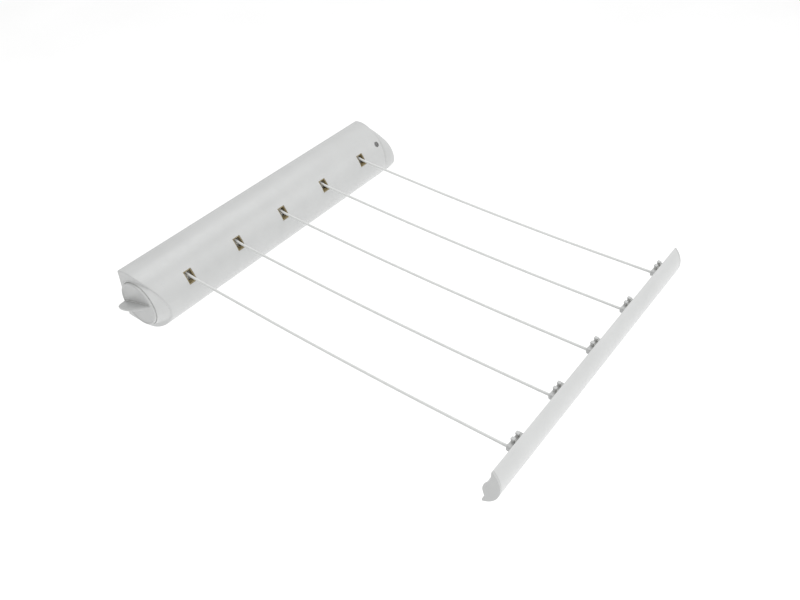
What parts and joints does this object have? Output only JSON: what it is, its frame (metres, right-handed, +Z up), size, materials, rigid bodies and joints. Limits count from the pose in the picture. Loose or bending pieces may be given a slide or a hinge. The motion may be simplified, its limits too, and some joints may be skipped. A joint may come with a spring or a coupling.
{
  "type": "wall clothes dryer",
  "caption": "Retractable wall clothes dryer: a long rounded housing with parallel lines that pull out on a bar, and a lock knob at one end.",
  "frame": {"origin": "centre of the wall face, midway between the two wall screw holes and on their line", "axes": "+X along the housing towards the domed end, +Y into the wall, +Z up; the lines pull out towards -Y"},
  "size_m": [0.4356, 0.4751, 0.067],
  "materials": {
    "housing_plastic": "fine moulded satin",
    "bar_plastic": "extruded satin",
    "cap_plastic": "moulded satin",
    "inner_plastic": "moulded",
    "bearing_plastic": "natural acetal",
    "reel_plastic": "moulded olive brown",
    "dark_steel": "blackened",
    "bright_steel": "zinc plated",
    "spring_steel": "blued strip",
    "lining_rubber": "moulded",
    "line_plastic": "smooth extruded"
  },
  "bodies": {
    "housing": {"back_plate": "inner_plastic", "front_shell": "housing_plastic", "left_cap": "housing_plastic", "right_cap": "housing_plastic", "cap_screw": "dark_steel", "left_bulkhead": "inner_plastic", "right_bulkhead": "inner_plastic", "bulkhead_screws": "bright_steel", "left_bush": "bearing_plastic", "right_bush": "bearing_plastic", "spring_barrel": "inner_plastic", "power_spring": "spring_steel", "line_guide_1": "reel_plastic", "line_guide_2": "reel_plastic", "line_guide_3": "reel_plastic", "line_guide_4": "reel_plastic", "line_guide_5": "reel_plastic", "brake_pins": "bright_steel", "release_springs": "spring_steel", "line_1": "line_plastic", "line_2": "line_plastic", "line_3": "line_plastic", "line_4": "line_plastic", "line_5": "line_plastic"},
    "drum": {"drum_shaft": "bright_steel", "retaining_rings": "dark_steel", "spring_arbor": "inner_plastic", "brake_wheel": "reel_plastic", "reel_1": "reel_plastic", "reel_2": "reel_plastic", "reel_3": "reel_plastic", "reel_4": "reel_plastic", "reel_5": "reel_plastic", "line_coil_1": "line_plastic", "line_coil_2": "line_plastic", "line_coil_3": "line_plastic", "line_coil_4": "line_plastic", "line_coil_5": "line_plastic"},
    "knob": {"turn_knob": "housing_plastic", "cam_disc": "bearing_plastic", "cam_screw": "bright_steel"},
    "brake": {"brake_plate": "inner_plastic", "brake_lining": "lining_rubber"},
    "bar": {"pull_bar": "bar_plastic", "left_bar_cap": "cap_plastic", "right_bar_cap": "cap_plastic", "line_cleat_1": "bar_plastic", "line_cleat_2": "bar_plastic", "line_cleat_3": "bar_plastic", "line_cleat_4": "bar_plastic", "line_cleat_5": "bar_plastic"}
  },
  "joints": [
    {"name": "bar_pull", "type": "slide", "parent": "housing", "child": "bar", "axis": [0, -1, 0], "range_m": [-0.394, 3.7], "deforming": ["line_1", "line_2", "line_3", "line_4", "line_5"]},
    {"name": "drum_spin", "type": "hinge", "parent": "housing", "child": "drum", "pos_m": [0, -0.028, 0], "axis": [1, 0, 0], "range_deg": [-1470, 13700]},
    {"name": "lock_turn", "type": "hinge", "parent": "housing", "child": "knob", "pos_m": [-0.2, -0.028, 0], "axis": [1, 0, 0], "range_deg": [0, 90]},
    {"name": "brake_slide", "type": "slide", "parent": "housing", "child": "brake", "axis": [1, 0, 0], "range_m": [-0.00125, 0]}
  ],
  "couplings": [
    {"joint": "drum_spin", "follows": "bar_pull", "rad_per_m": 64.5},
    {"joint": "brake_slide", "follows": "lock_turn", "m_per_rad": -0.00076394}
  ]
}
